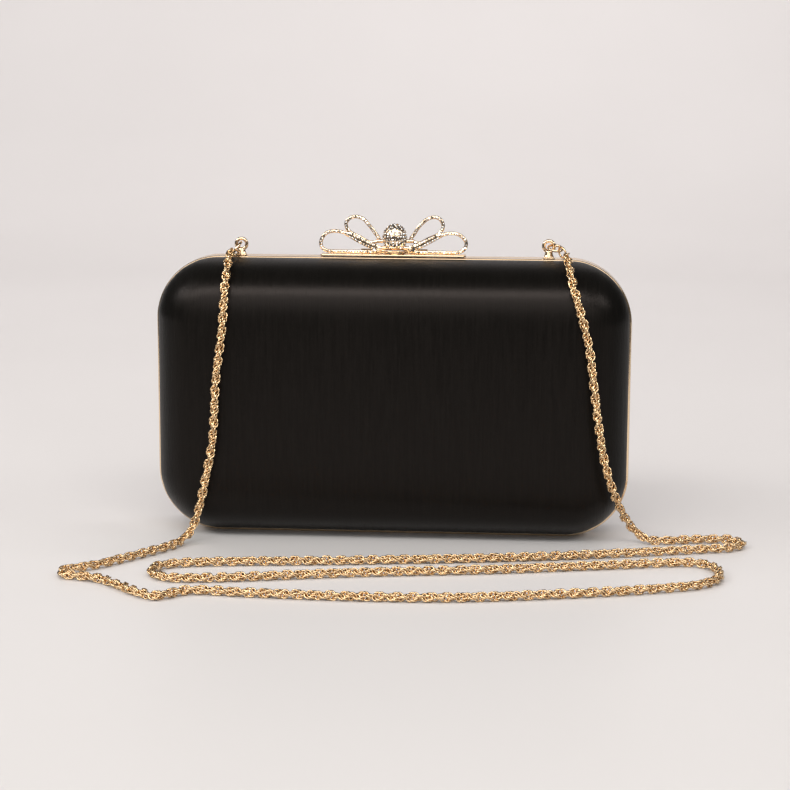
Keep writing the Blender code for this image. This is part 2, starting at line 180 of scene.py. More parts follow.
def lining():
    m, nt, b = node_material("lining_cloth")
    rib = noise_node(nt, (1500.0, 1500.0, 120.0), 2.0, 0.6)
    black = mix_colour(nt, remap(nt, rib, 0.0, 1.0), (0.010, 0.010, 0.011), (0.020, 0.020, 0.021))
    link(nt, black, b.inputs["Base Color"])
    link(nt, remap(nt, rib, 0.5, 0.66), b.inputs["Roughness"])
    b.inputs["Sheen Weight"].default_value = 0.2
    bump(nt, rib, 0.4, 0.0001, b)
    return m


def board():
    m, nt, b = node_material("moulded_board")
    g = noise_node(nt, (900.0, 900.0, 900.0), 3.0, 0.6)
    brown = mix_colour(nt, remap(nt, g, 0.0, 1.0), (0.07, 0.062, 0.055), (0.11, 0.10, 0.09))
    link(nt, brown, b.inputs["Base Color"])
    link(nt, remap(nt, g, 0.7, 0.85), b.inputs["Roughness"])
    bump(nt, g, 0.3, 0.0001, b)
    return m


def crystal():
    m, nt, b = node_material("rhinestone")
    g = noise_node(nt, (260.0, 260.0, 260.0), 0.0, 0.5)
    clear = mix_colour(nt, remap(nt, g, 0.0, 1.0), (0.62, 0.59, 0.54), (0.90, 0.89, 0.88))
    link(nt, clear, b.inputs["Base Color"])
    b.inputs["Metallic"].default_value = 1.0
    link(nt, remap(nt, g, 0.02, 0.08), b.inputs["Roughness"])
    return m


SATIN = satin()
GOLD = gold("gold_polish", (0.88, 0.67, 0.45), 0.13, 700.0)
CHAIN_GOLD = gold("gold_chain", (0.86, 0.62, 0.36), 0.17, 1500.0)
LINING_MAT = lining()
BOARD = board()
CRYSTAL = crystal()


# ---------------------------------------------------------------- mesh helpers
def make(name, verts, faces, mat, body, smooth=True, slot=None, replaces=()):
    """A mesh from millimetre points, riding on a body."""
    me = bpy.data.meshes.new(name)
    me.from_pydata([tuple(c * MM for c in v) for v in verts], [], faces)
    me.validate()
    if smooth:
        me.polygons.foreach_set("use_smooth", [True] * len(me.polygons))
    me.materials.append(mat)
    ob = bpy.data.objects.new(name, me)
    scene.collection.objects.link(ob)
    outward(ob)
    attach(ob, body)
    if replaces:
        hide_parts(*replaces)
    return ob


def outward(ob):
    bm = bmesh.new()
    bm.from_mesh(ob.data)
    bmesh.ops.recalc_face_normals(bm, faces=bm.faces)
    bm.to_mesh(ob.data)
    bm.free()


def autosmooth(ob, degrees=35.0):
    """Creases stay crisp where faces meet at more than this angle."""
    bm = bmesh.new()
    bm.from_mesh(ob.data)
    limit = math.radians(degrees)
    for e in bm.edges:
        e.smooth = not (len(e.link_faces) == 2 and e.calc_face_angle(0.0) > limit)
    bm.to_mesh(ob.data)
    bm.free()


def smooth_path(pts, count, cyclic=False):
    """Even points on a smooth curve through pts, as in the CAD."""
    P = [Vector(p) for p in pts]
    if cyclic:
        Q = [P[-1]] + P + [P[0], P[1]]
    else:
        Q = [P[0] * 2 - P[1]] + P + [P[-1] * 2 - P[-2]]
    dense = []
    for i in range(1, len(Q) - 2):
        p0, p1, p2, p3 = Q[i - 1], Q[i], Q[i + 1], Q[i + 2]
        t0 = 0.0
        t1 = t0 + max((p1 - p0).length, 1e-6) ** 0.5
        t2 = t1 + max((p2 - p1).length, 1e-6) ** 0.5
        t3 = t2 + max((p3 - p2).length, 1e-6) ** 0.5
        for k in range(24):
            t = t1 + (t2 - t1) * k / 24
            a1 = p0 * ((t1 - t) / (t1 - t0)) + p1 * ((t - t0) / (t1 - t0))
            a2 = p1 * ((t2 - t) / (t2 - t1)) + p2 * ((t - t1) / (t2 - t1))
            a3 = p2 * ((t3 - t) / (t3 - t2)) + p3 * ((t - t2) / (t3 - t2))
            b1 = a1 * ((t2 - t) / (t2 - t0)) + a2 * ((t - t0) / (t2 - t0))
            b2 = a2 * ((t3 - t) / (t3 - t1)) + a3 * ((t - t1) / (t3 - t1))
            dense.append(b1 * ((t2 - t) / (t2 - t1)) + b2 * ((t - t1) / (t2 - t1)))
    dense.append(Q[-2])
    s = [0.0]
    for a, b in zip(dense, dense[1:]):
        s.append(s[-1] + (b - a).length)
    out, j = [], 0
    last = count if cyclic else count - 1
    for k in range(count):
        want = s[-1] * k / last
        while j < len(s) - 2 and s[j + 1] < want:
            j += 1
        f = (want - s[j]) / max(s[j + 1] - s[j], 1e-9)
        out.append(dense[j].lerp(dense[j + 1], min(f, 1.0)))
    return out, s[-1]


# ---------------------------------------------------------------- strap: a rope chain along the CAD's route
DROP_L = [(-67.0, -10.7, 120.2), (-67.1, -13.3, 119.5), (-67.4, -16.2, 117.3), (-67.4, -21.4, 113.4),
          (-67.5, -26.2, 107.65), (-67.8, -28.65, 100.9), (-68.5, -29.65, 89.9), (-71.2, -30.0, 69.0),
          (-72.8, -30.1, 44.0), (-76.0, -30.2, 27.0), (-79.4, -30.4, 12.5), (-82.4, -31.0, 5.0),
          (-85.5, -36.0, 2.2)]
FLOOR = [(-87.4, -41.5, 2.0), (-95.0, -54.0, 2.0), (-103.0, -65.5, 2.0), (-111.0, -76.0, 2.0),
         (-118.0, -82.5, 2.0), (-123.0, -87.0, 2.0), (-122.0, -92.5, 2.0), (-115.0, -95.0, 2.0),
         (-106.0, -98.5, 2.0), (-97.0, -107.0, 2.0), (-88.0, -116.5, 2.0), (-80.0, -121.5, 2.0),
         (-75.0, -117.5, 2.0), (-69.0, -112.5, 2.0), (-45.0, -114.0, 2.0), (-7.5, -116.0, 2.0),
         (30.0, -114.5, 2.0), (67.0, -107.0, 2.0), (105.0, -96.0, 2.0), (124.5, -87.5, 2.0),
         (131.5, -79.5, 2.0), (133.5, -69.0, 2.0), (132.0, -59.0, 2.0), (125.5, -53.5, 2.0),
         (87.0, -61.0, 2.0), (47.5, -70.5, 2.0), (-10.5, -81.0, 2.0), (-67.0, -94.0, 2.0),
         (-81.0, -94.0, 2.0), (-88.0, -86.5, 2.0), (-87.5, -77.5, 2.0), (-80.5, -72.0, 2.0),
         (-12.5, -61.5, 2.0), (47.0, -52.0, 2.0), (87.5, -42.5, 2.0), (129.0, -30.5, 2.0),
         (141.5, -26.5, 2.0), (147.0, -19.5, 2.0), (143.0, -12.5, 2.0), (130.0, -13.0, 2.0),
         (116.0, -16.5, 2.0), (109.0, -16.8, 2.1)]
DROP_R = [(104.5, -16.0, 4.2), (100.5, -17.8, 8.5), (96.4, -22.0, 15.8), (93.2, -27.4, 24.0),
          (90.4, -29.8, 32.5), (87.9, -30.2, 43.0), (84.6, -29.9, 65.0), (81.8, -29.1, 84.9),
          (77.6, -28.45, 100.9), (75.4, -25.8, 108.2), (74.0, -20.95, 113.75), (73.15, -15.2, 117.45),
          (72.4, -12.4, 119.3), (71.8, -9.7, 120.4)]
ROUTE, LENGTH = smooth_path(DROP_L + FLOOR + DROP_R, 2401)

TWIST = 12.4        # mm of chain for one full turn of the rope
LINK_STEP = 1.28    # mm between links in each of the two strands
LINK_R, LINK_WIRE = 1.13, 0.37
LINK_LONG, LINK_WIDE = 1.22, 0.92
STRAND = 0.80       # how far a link's middle stands off the chain's axis
LEAN = 24.0         # degrees that a strand leans round the axis
TURN = 42.0         # degrees that neighbouring links turn apart


def frames_along(pts):
    """Positions, tangents and an untwisted normal at each point."""
    P = np.array([tuple(p) for p in pts])
    T = np.gradient(P, axis=0)
    T /= np.linalg.norm(T, axis=1)[:, None]
    N = np.zeros_like(T)
    n = np.cross(T[0], (1.0, 0.0, 0.0))
    for i in range(len(T)):
        n = n - T[i] * (n @ T[i])
        n /= np.linalg.norm(n)
        N[i] = n
    return P, T, N


def rope_chain():
    P, T, N = frames_along(ROUTE)
    S = np.linspace(0.0, LENGTH, len(P))
    ring, wire = 10, 4
    a = np.arange(ring) * 2 * np.pi / ring
    w = (np.arange(wire) + 0.5) * 2 * np.pi / wire
    # a link: a slightly long ring in the plane of its own first two axes
    R = LINK_R + LINK_WIRE * np.cos(w)[None, :]
    u = LINK_LONG * np.cos(a)[:, None] * R
    v = LINK_WIDE * np.sin(a)[:, None] * R
    z = np.broadcast_to(LINK_WIRE * np.sin(w)[None, :], u.shape)
    template = np.stack([u, v, z], -1).reshape(-1, 3)
    quads = []
    for i in range(ring):
        for k in range(wire):
            i2, k2 = (i + 1) % ring, (k + 1) % wire
            quads.append((i * wire + k, i2 * wire + k, i2 * wire + k2, i * wire + k2))
    quads = np.array(quads)
    rng = np.random.default_rng(7)
    places = []
    for strand in (0, 1):
        s = np.arange(0.7 + 0.5 * LINK_STEP * strand, LENGTH - 0.7, LINK_STEP)
        places.append(np.stack([s, np.full_like(s, strand), np.arange(len(s)) % 2 * 2.0 - 1.0], -1))
    places = np.concatenate(places)
    s = places[:, 0]
    at = np.stack([np.interp(s, S, P[:, k]) for k in range(3)], -1)
    t = np.stack([np.interp(s, S, T[:, k]) for k in range(3)], -1)
    t /= np.linalg.norm(t, axis=1)[:, None]
    n = np.stack([np.interp(s, S, N[:, k]) for k in range(3)], -1)
    n -= t * (n * t).sum(1)[:, None]
    n /= np.linalg.norm(n, axis=1)[:, None]
    b = np.cross(t, n)
    phi = 2 * np.pi * s / TWIST + np.pi * places[:, 1] + rng.normal(0, 0.05, len(s))
    er = n * np.cos(phi)[:, None] + b * np.sin(phi)[:, None]
    ep = -n * np.sin(phi)[:, None] + b * np.cos(phi)[:, None]
    # links lean along the strand's own helix and open a little outwards
    lean = np.radians(LEAN) + rng.normal(0, 0.07, len(s))
    turn = np.radians(TURN) * places[:, 2] + rng.normal(0, 0.10, len(s))
    along = t * np.cos(lean)[:, None] + ep * np.sin(lean)[:, None]
    side = er * np.cos(turn)[:, None] + np.cross(along, er) * np.sin(turn)[:, None]
    nrm = np.cross(along, side)
    centre = at + er * STRAND
    M = np.stack([along, side, nrm], 1)
    V = centre[:, None, :] + np.einsum("vk,lkc->lvc", template, M)
    n_v = len(template)
    V = V.reshape(-1, 3) * MM
    V[:, 2] = np.maximum(V[:, 2], 0.0)
    F = (quads[None] + (np.arange(len(s)) * n_v)[:, None, None]).reshape(-1, 4)
    me = bpy.data.meshes.new("strap_chain")
    me.vertices.add(len(V))
    me.vertices.foreach_set("co", V.ravel())
    me.loops.add(F.size)
    me.loops.foreach_set("vertex_index", F.ravel())
    me.polygons.add(len(F))
    me.polygons.foreach_set("loop_start", np.arange(0, F.size, 4))
    me.polygons.foreach_set("use_smooth", np.ones(len(F), bool))
    me.update(calc_edges=True)
    me.validate()
    me.materials.append(CHAIN_GOLD)
    ob = bpy.data.objects.new("strap_chain", me)
    scene.collection.objects.link(ob)
    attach(ob, "front_half")
    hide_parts("chain_drop_l", "chain_floor", "chain_drop_r")
    return ob


STRAP = rope_chain()


# ---------------------------------------------------------------- outline and skins
def outline(offset, y, size, arc=24, flats=(44, 20)):
    """A ring round the bag, inset by offset, at depth y, with its straight runs divided too."""
    half_w, half_h, corner, mid = size
    r = max(corner - offset, 4.0)
    hw, hh = half_w - offset, half_h - offset
    pts = []
    corners = ((hw - r, hh - r, 0), (-(hw - r), hh - r, 90),
               (-(hw - r), -(hh - r), 180), (hw - r, -(hh - r), 270))
    for q, (cx, cz, a0) in enumerate(corners):
        for k in range(arc + 1):
            a = math.radians(a0 + 90.0 * k / arc)
            pts.append((cx + r * math.cos(a), y, mid + cz + r * math.sin(a)))
        x1, z1 = pts[-1][0], pts[-1][2]
        nxt = ((-(hw - r), hh, 0), (-hw, -(hh - r), 0), (hw - r, -hh, 0), (hw, hh - r, 0))[q]
        x2, z2 = nxt[0], mid + nxt[1]
        m = flats[q % 2]
        for k in range(1, m):
            f = k / m
            pts.append((x1 + (x2 - x1) * f, y, z1 + (z2 - z1) * f))
    return pts


def face_depth(o):
    return EDGE + DOME * max(0.0, 1.0 - (1.0 - min(o, SPAN) / SPAN) ** 6) ** (1.0 / ROUND)


def profile(inset, steps):
    out = [(inset, RIM), (inset, RIM + 0.35), (inset, EDGE)]
    for o in steps:
        h = 0.02
        a, b = max(o - h, 0.0), o + h
        do, dd = b - a, face_depth(b) - face_depth(a)
        n = math.hypot(do, dd)
        out.append((o + inset * dd / n, face_depth(o) - inset * do / n))
    return out


STEPS = [0.06, 0.2, 0.45, 0.8, 1.2, 1.7, 2.4, 3.3, 4.3, 5.4, 6.6, 8.0, 9.5, 11.0, 12.5, 14.0, 16.0, 18.0,
         20.5, 23.5, 27.0, 31.0, 35.5, 40.0, 44.0, 48.0, 52.0]


def skin(name, side, outer, inner, mat, slot, node, body, ripple):
    """A domed skin of one half with its thickness; ripple moves its outside a little, as cloth does."""
    rings = [outline(o, side * d, SKIN_SIZE) for o, d in profile(outer, STEPS)]
    back = [outline(o, side * d, SKIN_SIZE) for o, d in profile(inner, STEPS)]
    n = len(rings[0])
    verts, faces = [], []
    for stack in (rings, back):
        base = len(verts)
        for ring in stack:
            verts.extend(ring)
        for j in range(len(stack) - 1):
            for i in range(n):
                k = (i + 1) % n
                here, above = base + j * n, base + (j + 1) * n
                faces.append((here + i, here + k, above + k, above + i))
        last = base + (len(stack) - 1) * n
        faces.append(tuple(range(last, last + n)))
    m = len(rings) * n
    for i in range(n):
        k = (i + 1) % n
        faces.append((i, k, m + k, m + i))
    if ripple:
        verts = [ripple(v, side) for v in verts]
    ob = make(name, verts, faces, mat, body, True, slot, (node,))
    return ob


def edge_distance(x, z):
    """How far inside the outline a point of the face is."""
    half_w, half_h, corner, mid = SKIN_SIZE
    ax, az = abs(x) - (half_w - corner), abs(z - mid) - (half_h - corner)
    if ax > 0 and az > 0:
        return corner - math.hypot(ax, az)
    return min(half_w - abs(x), half_h - abs(z - mid))


def cloth_ripple(v, side):
    """Soft gathers where the satin is pulled under the frame at the corners, and a slightly uneven face."""
    x, y, z = v
    o = max(edge_distance(x, z), 0.0)
    d = abs(y)
    half_w, half_h, bend, mid = SKIN_SIZE
    ax, az = abs(x) - (half_w - bend), abs(z - mid) - (half_h - bend)
    corner = 0.0
    if ax > 0 and az > 0:
        ang = math.atan2(az, ax)
        corner = math.sin(2 * ang) ** 0.5
        k = ang * 16.0 + 1.7 * noise.noise(Vector((x * 0.05, y * 0.05, z * 0.05)))
        amount = 0.10 * corner * math.exp(-((d - 14.0) / 9.0) ** 2)
        gather = amount * math.sin(k) * (0.6 + 0.4 * math.sin(k * 0.37 + (1.3 if x > 0 else 0.2)))
    else:
        gather = 0.0
    slow = 0.10 * noise.noise(Vector((x * 0.022 + 3.1, side * 2.0, z * 0.03))) * min(1.0, o / 12.0)
    depth = d + slow
    pull = gather
    nx, nz = 0.0, 0.0
    if ax > 0 and az > 0:
        h = math.hypot(ax, az)
        nx, nz = math.copysign(ax / h, x), math.copysign(az / h, z - mid)
    return (x + nx * pull, side * depth, z + nz * pull)


for side, half in ((-1, "front"), (1, "rear")):
    body = half + "_half"
    skin(half + "_satin", side, 0.0, COVER, SATIN, "satin_black", half + "_cover", body, cloth_ripple)
    lo = COVER + GAP + SHELL + GAP
    skin(half + "_inner_cloth", side, lo, lo + LINING, LINING_MAT, "lining_black",
         half + "_lining", body, None)


# ---------------------------------------------------------------- frames
def box_cutter(x0, x1, y0, y1, z0, z1):
    v = [(x, y, z) for x in (x0, x1) for y in (y0, y1) for z in (z0, z1)]
    f = [(0, 1, 3, 2), (4, 6, 7, 5), (0, 4, 5, 1), (2, 3, 7, 6), (0, 2, 6, 4), (1, 5, 7, 3)]
    return raw_object(v, f)


def raw_object(verts, faces):
    me = bpy.data.meshes.new("cutter")
    me.from_pydata([tuple(c * MM for c in v) for v in verts], [], faces)
    ob = bpy.data.objects.new("cutter", me)
    scene.collection.objects.link(ob)
    outward(ob)
    return ob


def prism_cutter(section, x0, x1):
    n = len(section)
    v = [(x0, y, z) for y, z in section] + [(x1, y, z) for y, z in section]
    f = [tuple(range(n)), tuple(range(2 * n - 1, n - 1, -1))]
    f += [(i, (i + 1) % n, n + (i + 1) % n, n + i) for i in range(n)]
    return raw_object(v, f)


def rod_mesh(a, b, r, n=24):
    a, b = Vector(a), Vector(b)
    d = (b - a).normalized()
    u = d.cross(Vector((0, 0, 1)) if abs(d.z) < 0.9 else Vector((0, 1, 0))).normalized()
    v = d.cross(u)
    turns = [2 * math.pi * k / n for k in range(n)]
    verts = [tuple(c + r * (u * math.cos(q) + v * math.sin(q))) for c in (a, b) for q in turns]
    faces = [tuple(range(n)), tuple(range(2 * n - 1, n - 1, -1))]
    faces += [(i, (i + 1) % n, n + (i + 1) % n, n + i) for i in range(n)]
    return verts, faces


def boolean(ob, cutters, op):
    for c in cutters:
        m = ob.modifiers.new("cut", "BOOLEAN")
        m.operation, m.solver, m.object = op, "EXACT", c
        dg = bpy.context.evaluated_depsgraph_get()
        me = bpy.data.meshes.new_from_object(ob.evaluated_get(dg), depsgraph=dg)
        ob.modifiers.clear()
        old = ob.data
        ob.data = me
        bpy.data.meshes.remove(old)
        bpy.data.objects.remove(c, do_unlink=True)
    ob.data.name = ob.name


def bevelled(ob, width, segments=2, degrees=30.0):
    m = ob.modifiers.new("soft_edges", "BEVEL")
    m.width = width * MM
    m.segments = segments
    m.limit_method = "ANGLE"
    m.angle_limit = math.radians(degrees)
    m.harden_normals = False
    return ob


def frame_piece(name, side, node, body):
    sec = [(0.55, 0.15), (0.22, 0.24), (0.04, 0.5), (0.0, 0.9), (0.0, 1.6), (0.0, 3.4), (0.0, 4.2),
           (0.08, 4.65), (0.3, 4.92), (0.6, 5.0), (2.3, 5.0), (2.6, 4.8), (2.6, 0.4), (2.4, 0.15)]
    rings = [outline(o, side * d, FRAME_SIZE, 24, (12, 6)) for o, d in sec]
    n = len(rings[0])
    verts = [p for ring in rings for p in ring]
    faces = []
    for j in range(len(sec)):
        j2 = (j + 1) % len(sec)
        for i in range(n):
            k = (i + 1) % n
            faces.append((j * n + i, j * n + k, j2 * n + k, j2 * n + i))
    ob = make(name, verts, faces, GOLD, body, True, "gold_metal", (node,))
    a = side * FRAME_IN
    cuts = [prism_cutter([(a, 1.7), (side * 2.35, -0.5), (-side * 0.6, -0.5), (-side * 0.6, 1.7)], -101, 101)]
    for x in (-HINGE_X, HINGE_X):
        cuts.append(box_cutter(x - 9.4, x + 9.4, -1.7, 1.7, -1.0, 3.2))
    if side < 0:
        cuts.append(box_cutter(-8.15, 8.15, -4.35, -1.05, 117.2, 119.0))
    boolean(ob, cuts, "DIFFERENCE")
    ob.data.polygons.foreach_set("use_smooth", [True] * len(ob.data.polygons))
    autosmooth(ob, 30.0)
    return ob


frame_piece("front_frame_gold", -1, "front_frame", "front_half")
frame_piece("rear_frame_gold", 1, "rear_frame", "rear_half")


# ---------------------------------------------------------------- rings and lugs
def torus_mesh(c, e1, e2, R, r, n=40, m=14, gap=0.0):
    """Ring points and faces; gap in degrees leaves the cut of a bent wire ring, with its ends closed."""
    c, e1 = Vector(c), Vector(e1).normalized()
    e2 = Vector(e2)
    e2 = (e2 - e1 * e2.dot(e1)).normalized()
    nrm = e1.cross(e2)
    verts, faces = [], []
    span = 360.0 - gap
    count = n if gap == 0.0 else n + 1
    for i in range(count):
        a = math.radians(gap / 2 + span * i / n)
        d = e1 * math.cos(a) + e2 * math.sin(a)
        for k in range(m):
            q = 2 * math.pi * k / m
            verts.append(tuple(c + d * (R + r * math.cos(q)) + nrm * r * math.sin(q)))
    for i in range(n):
        i2 = (i + 1) % count
        for k in range(m):
            k2 = (k + 1) % m
            faces.append((i * m + k, i2 * m + k, i2 * m + k2, i * m + k2))
    if gap:
        faces.append(tuple(range(m)))
        faces.append(tuple(range((count - 1) * m, count * m)))
    return verts, faces


def ring_piece(name, node, c, e1, e2, R, r, mat, slot, gap=0.0):
    v, f = torus_mesh(c, e1, e2, R, r, gap=gap)
    ob = make(name, v, f, mat, "front_half", True, slot, (node,))
    autosmooth(ob, 50.0)
    return ob


RING_PIECES = [
    ring_piece("jump_ring_left", "jump_ring_l",
               (-65.8, -4.2, 121.2), (-0.61, 0.08, -0.79), (-0.01, -1.0, -0.1),
               2.95, 0.58, GOLD, "gold_metal", 5.0),
    ring_piece("end_ring_left", "end_ring_l",
               (-66.76, -7.72, 119.67), (-0.19, -0.9, -0.38), (0.93, -0.16, -0.09),
               2.1, 0.42, CHAIN_GOLD, "chain_gold"),
    ring_piece("jump_ring_right", "jump_ring_r",
               (67.67, -4.03, 122.55), (0.9, 0.44, 0.04), (0.43, -0.84, -0.33),
               2.95, 0.58, GOLD, "gold_metal", 5.0),
    ring_piece("end_ring_right", "end_ring_r",
               (70.56, -6.52, 120.99), (0.04, -0.46, 0.89), (-0.62, 0.68, 0.38),
               2.3, 0.42, CHAIN_GOLD, "chain_gold"),
]


def join_meshes(parts):
    verts, faces = [], []
    for v, f in parts:
        base = len(verts)
        verts.extend(v)
        faces.extend(tuple(base + i for i in q) for q in f)
    return verts, faces


def revolve(profile_pts, centre, n=28, squash=1.0):
    """(radius, z) points turned about a vertical axis."""
    cx, cy = centre
    verts = []
    for r, z in profile_pts:
        for k in range(n):
            a = 2 * math.pi * k / n
            verts.append((cx + r * math.cos(a), cy + squash * r * math.sin(a), z))
    faces = []
    for j in range(len(profile_pts) - 1):
        for k in range(n):
            k2 = (k + 1) % n
            faces.append((j * n + k, j * n + k2, (j + 1) * n + k2, (j + 1) * n + k))
    faces.append(tuple(range(n)))
    faces.append(tuple(range((len(profile_pts) - 1) * n, len(profile_pts) * n)))
    return verts, faces


def block(x0, x1, y0, y1, z0, z1, r=0.5, soft=0.12):
    """A plate with rounded plan corners and softened upper edges."""
    pts = []
    corners = ((x1 - r, y1 - r, 0), (x0 + r, y1 - r, 90), (x0 + r, y0 + r, 180), (x1 - r, y0 + r, 270))
    for cx, cy, a0 in corners:
        for k in range(6):
            a = math.radians(a0 + 18 * k)
            pts.append((cx, cy, math.cos(a), math.sin(a)))
    n = len(pts)
    verts, faces = [], []
    levels = [(z0, r - soft), (z0 + soft, r), (z1 - soft, r),
              (z1 - soft * 0.3, r - soft * 0.3), (z1, r - soft)]
    for z, rr in levels:
        verts.extend((cx + rr * ca, cy + rr * sa, z) for cx, cy, ca, sa in pts)
    for j in range(len(levels) - 1):
        for i in range(n):
            k = (i + 1) % n
            faces.append((j * n + i, j * n + k, (j + 1) * n + k, (j + 1) * n + i))
    faces.append(tuple(range(n)))
    faces.append(tuple(range((len(levels) - 1) * n, len(levels) * n)))
    return verts, faces


def lug_piece(name, node, x, z):
    foot = block(x - 2.4, x + 2.4, -4.6, -0.6, 118.12, 118.55, 0.5, 0.1)
    step = block(x - 2.1, x + 2.1, -4.3, -0.9, 118.5, 118.95, 0.5, 0.1)
    flare = [(2.05, 118.9), (2.0, 119.05), (1.75, 119.5), (1.6, 120.2)]
    neck = [(1.5, z - 2.3), (1.35, z - 1.9), (0.9, z - 1.65)]
    post = revolve(flare + neck, (x, -2.6), 28, 0.75)
    eye = torus_mesh((x, -2.6, z), (1, 0, 0), (0, 0, 1), 2.2, 0.74, 44, 16)
    v, f = join_meshes([foot, step, post, eye])
    ob = make(name, v, f, GOLD, "front_half", True, "gold_metal", (node,))
    autosmooth(ob, 40.0)
    return ob


lug_piece("lug_left", "lug_l", -64.0, 122.9)
lug_piece("lug_right", "lug_r", 65.0, 123.2)


# ---------------------------------------------------------------- clasp plate and bow
def clasp_plate():
    plate = block(-30.5, 30.5, -5.7, 2.4, 118.3, 119.1, 1.5, 0.22)
    ob = make("clasp_plate_gold", *plate, GOLD, "clasp", True, "gold_metal", ("clasp_plate",))
    tongue = box_cutter(-8.9, 8.9, 2.0, 3.6, 118.32, 119.3)
    knuckle = raw_object(*rod_mesh((-9.0, CLASP_Y, CLASP_Z), (9.0, CLASP_Y, CLASP_Z), 1.1))
    boolean(ob, [tongue, knuckle], "UNION")
    boolean(ob, [raw_object(*rod_mesh((-10, CLASP_Y, CLASP_Z), (10, CLASP_Y, CLASP_Z), 0.55))], "DIFFERENCE")
    ob.data.polygons.foreach_set("use_smooth", [True] * len(ob.data.polygons))
    autosmooth(ob, 30.0)
    return ob


clasp_plate()

LL = [(-5.3, 121.2), (-9.3, 122.5), (-14.4, 124.9), (-19.1, 127.2), (-22.0, 128.2), (-25.2, 128.5),
      (-27.8, 127.9), (-29.7, 126.1), (-30.6, 123.8), (-30.2, 121.7), (-28.2, 120.3), (-22.0, 120.0),
      (-14.0, 120.0), (-8.0, 120.05)]
UL = [(-6.3, 124.9), (-8.3, 128.2), (-10.5, 131.0), (-13.0, 133.6), (-16.2, 134.5), (-18.7, 133.7),
      (-20.1, 131.8), (-19.8, 129.6), (-18.3, 127.9), (-14.3, 125.9), (-9.6, 123.7)]
LR = [(6.2, 121.2), (10.1, 122.3), (13.5, 124.0), (17.2, 125.9), (20.2, 127.2), (23.0, 127.9),
      (26.0, 127.9), (28.5, 126.8), (30.2, 124.8), (30.4, 122.8), (29.2, 120.9), (26.5, 120.0),
      (18.0, 120.0), (9.4, 120.05)]
UR = [(7.2, 125.2), (8.6, 127.4), (10.2, 130.0), (12.1, 132.1), (14.1, 133.7), (16.6, 134.5),
      (18.9, 134.0), (20.3, 132.4), (20.6, 130.0), (18.9, 127.6), (15.0, 125.6), (10.4, 123.6)]

STONES = []     # (centre, outward direction, radius)


def gem_mesh(stones):
    """Small cut stones: a table, a crown of triangles and a shallow back."""
    verts, faces = [], []
    rng = np.random.default_rng(11)
    for c, d, r in stones:
        c = Vector(c)
        d = (Vector(d).normalized() + Vector(rng.normal(0, 0.16, 3))).normalized()
        u = d.cross(Vector((0.31, 0.2, 0.93))).normalized()
        v = d.cross(u)
        spin = rng.uniform(0, math.pi)
        base = len(verts)
        for k in range(8):
            a = spin + math.pi * k / 4
            verts.append(tuple(c + (u * math.cos(a) + v * math.sin(a)) * r))
        for k in range(8):
            a = spin + math.pi * (k + 0.5) / 4
            verts.append(tuple(c + (u * math.cos(a) + v * math.sin(a)) * r * 0.56 + d * r * 0.42))
        verts.append(tuple(c - d * r * 0.5))
        for k in range(8):
            k2 = (k + 1) % 8
            faces.append((base + k, base + k2, base + 8 + k))
            faces.append((base + k2, base + 8 + k2, base + 8 + k))
            faces.append((base + k2, base + k, base + 16))
        faces.append(tuple(base + 8 + k for k in range(8)))
    return verts, faces


def bow_loop(name, node, pts, y, band):
    """A closed, slightly flattened wire set with stones; band gives its width at a point."""
    path, length = smooth_path([(x, y, z) for x, z in pts], 120, True)
    n = len(path)
    m = 12
    verts, faces = [], []
    for i in range(n):
        t = (path[(i + 1) % n] - path[i - 1]).normalized()
        side = Vector((t.z, 0, -t.x))
        w = band(path[i]) / 2
        for k in range(m):
            q = 2 * math.pi * (k + 0.5) / m
            cq, sq = math.cos(q), math.sin(q)
            sx = math.copysign(abs(cq) ** 0.75, cq) * w
            sy = math.copysign(abs(sq) ** 0.75, sq) * 0.62
            verts.append(tuple(path[i] + side * sx + Vector((0, sy, 0))))
    for i in range(n):
        i2 = (i + 1) % n
        for k in range(m):
            k2 = (k + 1) % m
            faces.append((i * m + k, i2 * m + k, i2 * m + k2, i * m + k2))
    make(name, verts, faces, GOLD, "clasp", True, "gold_metal", (node,))
    step = 1.18
    count = int(length / step)
    for j in range(count):
        f = j / count * n
        i = int(f) % n
        p = path[i].lerp(path[(i + 1) % n], f - int(f))
        t = (path[(i + 1) % n] - path[i - 1]).normalized()
        side = Vector((t.z, 0, -t.x))
        w = band(p)
        if w > 2.1:
            for s in (-0.30, 0.30):
                place = p + side * w * s + t * (0.3 if s > 0 else -0.3) + Vector((0, -0.56, 0))
                STONES.append((place, Vector((0, -1, 0)) + side * s * 0.5, 0.56))
        else:
            facing = Vector((0.0, -1, 0)) + side * (0.25 if j % 2 else -0.25)
            STONES.append((p + Vector((0, -0.60, 0)), facing, 0.52))


def plain_band(p):
    return 1.5


def wide_band(p):
    """Wider where a lower loop's upper run comes down to the knot."""
    x = abs(p.x)
    on_slope = p.z > 121.0 + (x - 7.0) * 0.35 and 5.0 < x < 20.5
    if not on_slope:
        return 1.5
    return 1.5 + 1.25 * math.sin(math.pi * min(max((x - 5.0) / 15.5, 0.0), 1.0)) ** 0.6


bow_loop("bow_lower_left", "bow_loop_lower_l", LL, -1.0, wide_band)
bow_loop("bow_lower_right", "bow_loop_lower_r", LR, -1.0, wide_band)
bow_loop("bow_upper_left", "bow_loop_upper_l", UL, 0.85, plain_band)
bow_loop("bow_upper_right", "bow_loop_upper_r", UR, 0.85, plain_band)
for x, z, r in ((-8.0, 120.9, 0.95), (8.4, 120.9, 0.95), (19.2, 127.6, 0.9)):
    STONES.append((Vector((x, -1.95, z)), Vector((0, -1, 0.1)), r))


